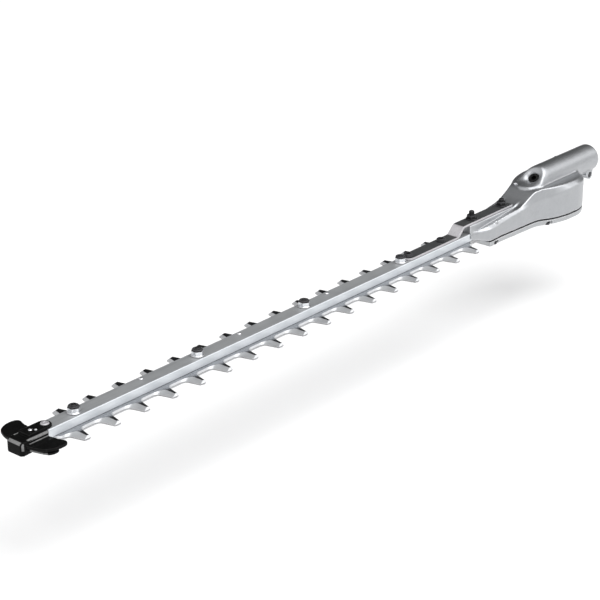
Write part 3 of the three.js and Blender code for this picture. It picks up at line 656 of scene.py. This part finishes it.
def gasket():
    outer = [plan(seam_outline(0.25), z) for z in (6.55, 7.35)]
    return cut(loft(outer), loft([plan(seam_outline(WALL), z) for z in (5.5, 8.5)]))


# ---------------------------------------------------------------- blades and bar
TOOTH_PITCH = 35
NEAR_TEETH = [-744.5 + TOOTH_PITCH * k for k in range(17)]
FAR_TEETH = [-727.2 + TOOTH_PITCH * k for k in range(16)]
# A tooth's outline from its centre line: x, y and how far the corner is rounded.
TOOTH = [(-10.5, 13.2, 3), (-7.2, 15.4, 3.4), (-3.5, 29.3, 0.4), (3.5, 29.3, 0.4), (7.2, 15.4, 3.4),
         (10.5, 13.2, 3)]
# The flat face inside a tooth's bevels. The teeth are ground on a long bevel towards the bar's tip and hardly
# at all on the other flank. The bevel is wider on the row at -Y than on the row at +Y.
GROUND = {
    -1: [(-8.6, 11.9), (1.4, 14.6), (1.1, 26.8), (2.9, 28.2), (6.4, 14.8), (9.6, 12)],
    1: [(-8.8, 11.9), (-4.2, 14.4), (-1.4, 27.6), (3, 28.4), (6.4, 14.8), (9.6, 12)],
}
BLADE_FRONT = [(-762, 9.5, 1.5), (-758, 13.2, 1.5)]
BLADE_FRONT_GROUND = [(-761, 9.0), (-757.4, 12.2)]
TANG = [(-172, 13.2, 1.5), (-168, 8.5, 1.5), (-30, 8.5, 0)]
TANG_GROUND = [(-172.4, 12.2), (-168.3, 8.1), (-30, 8.1)]
GUIDE_BOLT_X = (-732.2, -581, -432, -280)
SLOT_R = 3.2
SLOT_REACH = 9.05
ROD_EYE_AT = (-30, 0, 0)
BLADE_EYE_R = 8.5
BLADE_EYE_BORE_R = 3.6
BAR_X = (-768, -91)
BAR_TOP_Z = 20.4
# Between any piece and what it rests on, as in the CAD.
GAP = 0.3
BRACKET_LOW_TOP = 23.0
BRACKET_HIGH_TOP = 32.2
BRACKET_SCREW_X = (-267, -210)
BRACKET_SCREW_HOLE_R = 2.8
TIP_BOLT_AT = (-764.8, 0, 0)
TIP_BOLT_HOLE_R = 2.5
BAR_RIVET_X = (-649, -521, -393.5)
BAR_RIVET_Y = 3.6


def blade_outlines():
    """The blade's full outline and, point for point, the outline of its face inside the ground bevels."""
    full, inner, trims = [], [], []
    for side, centres in ((-1, NEAR_TEETH), (1, FAR_TEETH)):
        outer = list(BLADE_FRONT)
        face = list(BLADE_FRONT_GROUND)
        for x in centres:
            outer += [(x + dx, y, trim) for dx, y, trim in TOOTH]
            face += [(x + dx, y) for dx, y in GROUND[side]]
        outer += TANG
        face += TANG_GROUND
        points = [((x, side * y), trim, (fx, side * fy)) for (x, y, trim), (fx, fy) in zip(outer, face)]
        if side > 0:
            points.reverse()
        for point, trim, inside in points:
            full.append(point)
            trims.append(trim)
            inner.append(inside)
    return rounded(full, trims), rounded(inner, trims)


def slot_outline(x):
    """A slot that lies along the blade, round at both ends."""
    outline = []
    for centre, start in ((x + SLOT_REACH, -90), (x - SLOT_REACH, 90)):
        turn = [math.radians(degrees) for degrees in range(start, start + 181, 15)]
        outline += [(centre + SLOT_R * math.cos(a), SLOT_R * math.sin(a)) for a in turn]
    return outline


def blade_material(face):
    """0 for a flat, 1 for a ground bevel and 2 for a cut edge."""
    upright = abs(face.normal.z)
    if upright > 0.998:
        return 0
    return 1 if upright > 0.25 else 2


def blade(z_cut, z_land, z_face):
    """z_cut is the face that slides on the other blade, z_face the one with the bevels round it."""
    full, inner = blade_outlines()
    body = loft([plan(full, z_cut), plan(full, z_land), plan(inner, z_face)])
    bottom, top = sorted((z_cut, z_face))
    slots = [loft([plan(slot_outline(x), z) for z in (bottom - 1, top + 1)]) for x in GUIDE_BOLT_X]
    eye = cylinder("z", BLADE_EYE_R, bottom, top, ROD_EYE_AT, 64)
    bore = cylinder("z", BLADE_EYE_BORE_R, bottom - 1, top + 1, ROD_EYE_AT, 32)
    mesh = cut(join(body, eye), *slots, bore)
    paint(mesh, blade_material)
    return mesh


def bar_hole(x, r, bottom, y=0, sides=24):
    return cylinder("z", r, bottom, 22, (x, y, 0), sides)


def guide_bar():
    section = both_sides([(8, 12.4), (8, BAR_TOP_Z - 0.5), (7.5, BAR_TOP_Z)])
    bar = loft([[(x, y, z) for y, z in section] for x in BAR_X])
    holes = [bar_hole(x, 3.1, 11) for x in GUIDE_BOLT_X]
    holes += [bar_hole(x, CASE_STUD_HOLE_R, 13.8) for x in CASE_STUD_X]
    holes += [bar_hole(x, BRACKET_SCREW_HOLE_R, 14) for x in BRACKET_SCREW_X]
    holes += [bar_hole(TIP_BOLT_AT[0], TIP_BOLT_HOLE_R, 14.4)]
    holes += [bar_hole(x, 1.3, 16.4, BAR_RIVET_Y, 20) for x in BAR_RIVET_X]
    mesh = cut(bar, *holes)
    # Upward faces take the darker top material, which is painted shade, and the rest take the side material.
    paint(mesh, lambda face: 0 if face.normal.z > 0.97 else 1)
    return mesh


def threaded(r, start, end):
    """Profile of a threaded end, from start up to end."""
    pitch = 1.0
    out = []
    z = start
    while z < end - pitch:
        out += [(r - 0.32, z), (r, z + pitch * 0.4), (r, z + pitch * 0.55), (r - 0.32, z + pitch)]
        z += pitch
    return [*out, (r - 0.3, end - 0.7), (r - 1.1, end - 0.15), (r - 1.5, end), (0, end)]


def guide_bolt(x):
    head = [(0, 3.4), (4.2, 3.4, 9), (4.9, 3.8, 9), (5.2, 4.2, 9), (5.2, 5.3, 9), (6.8, 5.35), (6.8, 7.0),
            (6.5, 7.3)]
    return lathe([*head, (2.8, 7.3), (2.8, 20), *threaded(2.8, 20.2, 28.5)], (x, 0, 0))


def flange_nut(x, bottom, height, bore):
    """A nut whose crown has material 1, and the rest material 0."""
    top = bottom + height
    flats = 10
    corner = flats / math.sqrt(3)
    profile = [
        (bore, bottom), (6.1, bottom), (6.3, bottom + 0.2), (6.3, bottom + 0.9), (5.6, bottom + 1.3),
        (corner, bottom + 1.5, flats), (corner, top - 2, flats), (corner - 0.4, top - 1.1, flats),
        (flats / 2 - 0.1, top - 0.5), (flats / 2 - 0.8, top), (bore + 0.5, top), (bore, top - 0.5),
    ]
    mesh = lathe(profile, (x, 0, 0), closed=True)
    paint(mesh, lambda face: 1 if face.center.z / MM > top - 1.9 else 0)
    return mesh


def bracket():
    front, foot, crest, rear = -273.2, -189.5, -179.5, -87.5
    low, low_top, high, high_top = BAR_TOP_Z + GAP, BRACKET_LOW_TOP, 29.9, BRACKET_HIGH_TOP
    side = [(front, low), (foot + 2.6, low), (crest + 2.2, high), (rear, high),
            (rear, high_top), (crest, high_top), (foot, low_top), (front, low_top)]
    profile = rounded(side, [0, 2.2, 1.6, 0, 0, 3.0, 1.4, 0], 5)
    half = 6.7
    body = side_slab(profile, (-half, half))
    nose = cut(block((front - 1, front + half), (-9, 9), (low - 1, low_top + 1)),
               cylinder("z", half, low - 2, low_top + 2, (front + half, 0, 0), 48))
    tools = [nose]
    holes = [(x, BRACKET_SCREW_HOLE_R, low - 1, low_top + 1) for x in BRACKET_SCREW_X]
    holes += [(x, CASE_STUD_HOLE_R, high - 1, high_top + 1) for x in CASE_STUD_X]
    tools += [cylinder("z", r, bottom, top, (x, 0, 0), 24) for x, r, bottom, top in holes]
    mesh = cut(body, *tools)
    # Upward faces take the near-black painted shade, and the rest take the bare steel.
    paint(mesh, lambda face: 0 if face.normal.z > 0.97 else 1)
    return mesh


def button_screw(x, seat):
    shank = [(0, 14.4), (2.5, 14.4), (2.5, seat)]
    head = [(5, 0), (5, 1.2), (4.7, 2.2), (4.1, 2.9), (3.4, 3.2), (2.35, 3.2)]
    socket = [(2.35, seat + 2.9, 4), (2.35, seat + 1.4, 4), (0, seat + 1.2)]
    return lathe([*shank, *[(r, seat + h) for r, h in head], *socket], (x, 0, 0))


def case_stud(x, top):
    return lathe([(0, 14.2), (2.7, 14.2), (3, 14.6), (3, 30), *threaded(3, 30.2, top)], (x, 0, 0))


# ---------------------------------------------------------------- tip guard
# x, y and head radius of the two rivets in the guard's top
TIP_RIVETS = ((-781.4, -0.7, 1.7), (-778.2, -3.9, 1.25))
# Outlines of the guard's wings: x, y. The upper pair is swept, and the lower pair is shorter.
UPPER_WING = rounded(
    [(-768.6, 6.5), (-769.5, 14), (-770, 20), (-767, 28.5), (-768.6, 31.6), (-773, 33.2), (-781.6, 32.6),
     (-789.8, 28), (-794.4, 18), (-796, 7)],
    [0, 2, 2, 2.4, 2, 2.6, 4, 4, 4, 0],
)
LOWER_WING = rounded(
    [(-776, 15), (-774.6, 27), (-777, 30.6), (-783, 31), (-787, 29), (-793.4, 9), (-790, 7), (-778, 7)],
    [1, 3, 2, 2, 2, 2, 0, 0],
)
WING_WEB = [(-793.6, 8.5), (-789, 26), (-785, 25), (-788.6, 8.5)]
# The nose block: x, then y and z down one side of it.
NOSE = [
    (-799.4, [(7.0, 8.0), (7.6, 8.8), (7.6, 16.4), (7.2, 17.2)]),
    (-799.0, [(7.8, 7.5), (8.2, 8.4), (8.2, 17.0), (7.6, 18.0)]),
    (-796.6, [(9.4, 7.4), (10.2, 8.4), (10.2, 18.2), (9.4, 19.8)]),
    (-789, [(8.8, 7.4), (9.6, 8.4), (9.6, 18.4), (8.6, 20.0)]),
    (-784, [(8.4, 7.4), (9.4, 8.4), (9.4, 18.4), (8.4, 20.0)]),
]
# The side of the cap is stepped: a lip, a groove, and a sloped upper band.
CAP = [(9.0, 13.0), (9.2, 15.2), (8.9, 16.2), (7.9, 16.5), (7.9, 17.3), (9.0, 17.7), (8.9, 18.3), (7.3, 20.0)]


def wings(side):
    """The two wings on one side and the web that joins them."""
    shapes = [
        (UPPER_WING, [(1, 15), (1, 16.8), (0.985, 17.4)]),
        (LOWER_WING, [(1, 11), (1, 13)]),
        (WING_WEB, [(1, 11.4), (1, 16)]),
    ]
    return [loft([plan([(x, side * y * share) for x, y in outline], z) for share, z in levels])
            for outline, levels in shapes]


def guard_body():
    nose = loft([[(x, y, z) for y, z in both_sides(half)] for x, half in NOSE])
    cap = loft([[(x, y, z) for y, z in both_sides(CAP)] for x in (-792, -768.3)])
    tongue = block((-788, -766), (-6.8, 6.8), (19.0, 22.6))
    tongue_end = lathe([(6.8, 20.7), (6.8, 22.5), (6.2, 23.0), (0, 23.0)], (-766, 0, 0))
    tongue_top = loft([
        [(x, y, 22.5) for x, y in ((-787, 6.6), (-766, 6.6), (-766, -6.6), (-787, -6.6))],
        [(x, y, 23.0) for x, y in ((-786.4, 6.1), (-766, 6.1), (-766, -6.1), (-786.4, -6.1))],
    ])
    return join(*wings(1), *wings(-1), nose, cap, tongue, tongue_end, tongue_top)


def guard_hollows():
    """The room for the blades, the bar's seat, the holes, and a hollow at the root of each upper wing."""
    tools = [
        block((-784, -740), (-14.6, 14.6), (0, 13.0)),
        block((-768.3, -750), (-20, 20), (10, 20.7)),
        cylinder("z", TIP_BOLT_HOLE_R, 10, 24, TIP_BOLT_AT, 24),
        cylinder("z", 4.2, 21.7, 24, TIP_BOLT_AT, 48),
    ]
    tools += [cylinder("z", 1.2, 19, 24, (x, y, 0), 20) for x, y, _ in TIP_RIVETS]
    for side in (1, -1):
        wedge = [(8.6, 15.6), (8.6, 18.6), (19, 18.6), (18, 17.4)]
        tools.append(loft([[(x, side * y, z) for y, z in wedge] for x in (-791.5, -766)]))
    return tools


def within(value, low, high):
    return (value > low) & (value < high)


def tip_guard():
    mesh = cast(cut(guard_body(), *guard_hollows()), 0.42, 2)
    # Bands along the upper chamfer, the lip, the brow, the front corners and the lower wing edges are marked
    # for a painted highlight, together with wear.
    x, y, z = coordinates(mesh).T
    outer = np.abs(y)
    upper_band = within(outer, 7.2, 9.1) & (z > 17.9) & within(x, -791.5, -768)
    lip = within(outer, 8.4, 9.4) & within(z, 14.9, 16.4) & within(x, -791, -768)
    brow = (x < -797.0) & within(z, 17.4, 19.4) & (outer < 7.2)
    corner = within(outer, 8.6, 10.4) & (x < -796.8) & within(z, 12.5, 18.8)
    lower_edge = within(outer, 12, 31) & within(z, 10.9, 12.95) & (x + outer * 0.32 < -778.4)
    glint_and_wear = np.maximum(upper_band | lip | brow | corner, 0.8 * lower_edge)
    layer = mesh.attributes.new("glint_and_wear", "FLOAT", "POINT")
    layer.data.foreach_set("value", glint_and_wear.astype(np.float32))
    return mesh


# ---------------------------------------------------------------- the object
COVER_SCREW = [(0, 15), (1.6, 14.6), (1.6, 3.1), (3.3, 3.1), (3.4, 2.9), (3.4, 0.8), (3.1, 0.5), (1.8, 0.5),
               (1.75, 0.7, 3), (1.75, 1.8, 3), (0, 2.0)]
BAR_RIVET = [(0, 16.7), (1, 16.7), (1, 20.7), (2.1, 20.7), (2.1, 20.9), (1.8, 21.3), (1.2, 21.6), (0, 21.7)]
TIP_BOLT = [(0, 15), (2.2, 15), (2.2, 22), (3.9, 22), (3.9, 22.8), (3.6, 23.3), (3.0, 23.6), (1.8, 23.6),
            (1.75, 23.4, 3), (1.75, 22.8, 3), (0, 22.7)]
GREASE_PLUG = [(0, -9.6), (5.2, -9.6), (5.2, -4.2), (4.9, -3.8), (3.4, -3.7), (3.2, -3.9, 5.4),
               (3.2, -6.8, 5.4), (0, -6.9)]
DECK_PIN = [(0, 40.6), (1.3, 40.6), (1.3, 42.3), (1.9, 42.3), (1.9, 42.8), (1.6, 43.3), (0.9, 43.6),
            (0, 43.7)]
CLAMP_BOLT = [(0, -9.6), (2.5, -9.6), (2.9, -9.2), (2.9, 10.3), (4.62, 10.3, 8), (4.62, 13.4, 8),
              (4.0, 14, 8), (0, 14)]
CASE_STUD_TOP = (42.2, 40.3)
BLADES = [BLADE_FLAT, BLADE_BEVEL, BLADE_SIDE]


def fixed(name, mesh, slot, materials, node, **finish):
    """A piece that rides on the head and stands for one node of it."""
    piece(name, mesh, HEAD, slot, materials, [node], **finish)


def tip_rivet(x, y, r):
    shank = [(0, 19.4), (0.9, 19.4), (0.9, 23.2)]
    head = [(r, 23.2), (r, 23.4), (r * 0.8, 23.8), (r * 0.4, 24), (0, 24.05)]
    return lathe([*shank, *head], (x, y, 0), sides=32)


fixed("case_casting", gear_case(), "case_casting", [CAST], "gear_case", smooth=True)
fixed("cover_casting", bottom_cover(), "cover_casting", [COVER], "bottom_cover", smooth=True)
fixed("cover_seal", gasket(), "gasket_rubber", [RUBBER], "cover_gasket")
for k, (x, y) in enumerate(SCREWS, 1):
    screw = lathe(COVER_SCREW, (x, y, 0), sides=36)
    fixed(f"cover_screw_cap_{k}", screw, "black_steel", [BLACK_STEEL], f"cover_screw_{k}")

fixed("guide_bar_extrusion", guide_bar(), "bar_alloy", [BAR_TOP_PAINTED_SHADE, BAR_SIDE], "guide_bar", ease=0.15)
piece("upper_blade_ground", blade(10.0, 10.5, 12.1), "upper_blade_body", "blade_steel", BLADES,
      ["upper_blade_front", "upper_blade_rear"], sharp=25)
piece("lower_blade_ground", blade(9.7, 9.2, 7.6), "lower_blade_body", "blade_steel", BLADES,
      ["lower_blade_front", "lower_blade_rear"], sharp=25)
for k, x in enumerate(GUIDE_BOLT_X, 1):
    fixed(f"guide_bolt_turned_{k}", guide_bolt(x), "black_steel", [BLACK_STEEL], f"guide_bolt_{k}")
    nut = flange_nut(x, BAR_TOP_Z + GAP, 6.9, 3.1)
    fixed(f"guide_nut_turned_{k}", nut, "zinc_steel", [ZINC, BLACK_STEEL], f"guide_nut_{k}")
for k, x in enumerate(BAR_RIVET_X, 1):
    rivet = lathe(BAR_RIVET, (x, BAR_RIVET_Y, 0), sides=32)
    fixed(f"bar_rivet_head_{k}", rivet, "zinc_steel", [ZINC], f"bar_rivet_{k}")

fixed("bracket_folded", bracket(), "bracket_steel", [BRACKET_TOP_PAINTED_SHADE, BRACKET_BARE], "bar_bracket", ease=0.3)
for k, x in enumerate(BRACKET_SCREW_X, 1):
    screw = button_screw(x, BRACKET_LOW_TOP + GAP)
    fixed(f"bracket_screw_button_{k}", screw, "black_steel", [BLACK_STEEL], f"bracket_screw_{k}")
for k, (x, top) in enumerate(zip(CASE_STUD_X, CASE_STUD_TOP), 1):
    fixed(f"case_stud_threaded_{k}", case_stud(x, top), "black_steel", [BLACK_STEEL], f"case_stud_{k}")
    nut = flange_nut(x, BRACKET_HIGH_TOP + GAP, 5, 3.3)
    fixed(f"case_nut_turned_{k}", nut, "black_steel", [BLACK_STEEL, BLACK_STEEL], f"case_nut_{k}")

fixed("tip_guard_moulding", tip_guard(), "guard_black", [GUARD_BLACK], "tip_guard", smooth=True)
fixed("tip_bolt_button", lathe(TIP_BOLT, TIP_BOLT_AT), "zinc_steel", [BRACKET_BARE], "tip_bolt")
for k, (x, y, r) in enumerate(TIP_RIVETS, 1):
    fixed(f"tip_rivet_head_{k}", tip_rivet(x, y, r), "zinc_steel", [ZINC], f"tip_rivet_{k}")

plug = moved(lathe(GREASE_PLUG), PLUG_AXIS)
fixed("grease_plug_turned", plug, "black_steel", [GUARD_BLACK], "grease_plug")
deck_pin = lathe(DECK_PIN, (*DECK_PIN_AT, 0), sides=32)
fixed("deck_pin_turned", deck_pin, "zinc_steel", [ZINC], "deck_pin")
fixed("clamp_bolt_turned", lathe(CLAMP_BOLT, CLAMP_AT, "y"), "black_steel", [BLACK_STEEL], "clamp_bolt")

INSIDE = {
    "input_pinion": GEAR, "crank_gear": GEAR, "crank_shaft": GEAR, "upper_rod": GEAR, "lower_rod": GEAR,
    "front_pinion_bearing": BEARING, "rear_pinion_bearing": BEARING, "crank_top_bearing": BEARING,
    "pinion_circlip": BLACK_STEEL, "crank_bottom_bush": BRONZE, "upper_rod_bearing": BRONZE,
    "lower_rod_bearing": BRONZE, "upper_rod_pin": ZINC, "lower_rod_pin": ZINC,
}
for name, material in INSIDE.items():
    for material_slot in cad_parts[name].material_slots:
        material_slot.link = "OBJECT"
        material_slot.material = material


# ---------------------------------------------------------------- floor, light and camera
FLOOR_Z = -0.09
FLOOR_REACH = 6.0
FLOOR_CELLS = 12


def studio_floor():
    row = FLOOR_CELLS + 1
    step = 2 * FLOOR_REACH / FLOOR_CELLS
    along = [k * step - FLOOR_REACH for k in range(row)]
    points = [(x, y, FLOOR_Z) for y in along for x in along]
    corners = [j * row + i for j in range(FLOOR_CELLS) for i in range(FLOOR_CELLS)]
    mesh = bpy.data.meshes.new("studio_floor")
    mesh.from_pydata(points, [], [(c, c + 1, c + row + 1, c + row) for c in corners])
    paper = bpy.data.materials.new("studio_paper")
    paper.use_nodes = True
    n = Nodes(paper.node_tree)
    sheet = paper.node_tree.nodes["Principled BSDF"]
    sheet.inputs["Roughness"].default_value = 0.9
    sheet.inputs["Specular IOR Level"].default_value = 0.1
    tone = n.noise(n.add("ShaderNodeTexCoord").outputs["Object"], 3.0)
    n.link(n.mix(tone, (0.92, 0.92, 0.92), (0.95, 0.95, 0.95)), sheet.inputs["Base Color"])
    mesh.materials.append(paper)
    return link("studio_floor", mesh)


studio_floor()


def place(name, data, at, turn):
    obj = bpy.data.objects.new(name, data)
    obj.location = at
    obj.rotation_euler = turn
    bpy.context.scene.collection.objects.link(obj)
    return obj


def softbox(name, at, toward, size, power):
    light = bpy.data.lights.new(name, "AREA")
    light.shape = "RECTANGLE"
    light.size, light.size_y = size
    light.energy = power
    aim = Vector(toward) - Vector(at)
    place(name, light, at, aim.to_track_quat("-Z", "Y").to_euler())


def broad_light(name, turn, energy, spread):
    """Even light from a wide patch of the ceiling."""
    light = bpy.data.lights.new(name, "SUN")
    light.energy = energy
    light.angle = math.radians(spread)
    place(name, light, (0, 0, 0), [math.radians(a) for a in turn])


def studio_walls(dark_side, bright, dim):
    """White all round, and dimmer towards dark_side, which is what the upper faces mirror to the camera."""
    world = bpy.data.worlds.new("studio")
    bpy.context.scene.world = world
    world.use_nodes = True
    n = Nodes(world.node_tree)
    toward = n.add("ShaderNodeTexCoord").outputs["Generated"]
    facing = n.add("ShaderNodeVectorMath", {0: toward, 1: dark_side}, operation="DOT_PRODUCT")
    backdrop = world.node_tree.nodes["Background"]
    n.link(n.span(facing.outputs["Value"], bright, dim, 0.35, 0.88), backdrop.inputs["Strength"])
    backdrop.inputs["Color"].default_value = (1, 1, 1, 1)


softbox("key_softbox", (-1.5, -1.2, 1.5), (-0.36, 0, 0.02), (1.6, 1.0), 7)
broad_light("overhead", (14, 16, 0), 1.35, 50)
softbox("side_softbox", (1.0, -0.7, 0.95), (-0.1, 0, 0.03), (0.9, 0.9), 2.5)
studio_walls((0.70, 0.58, 0.41), 1.0, 0.06)

CAMERA_AT = (-1.633725, -1.016246, 0.687801)
CAMERA_DOWN = 22.775
CAMERA_TURN = -49.638
LENS_MM = 106.74
SENSOR_MM = 36
lens = bpy.data.cameras.new("camera")
lens.lens = LENS_MM
lens.sensor_width = SENSOR_MM
lens.clip_end = 50
camera_turn = (math.radians(90 - CAMERA_DOWN), 0, math.radians(CAMERA_TURN))
bpy.context.scene.camera = place("camera", lens, CAMERA_AT, camera_turn)
bpy.context.scene.view_settings.view_transform = "Standard"
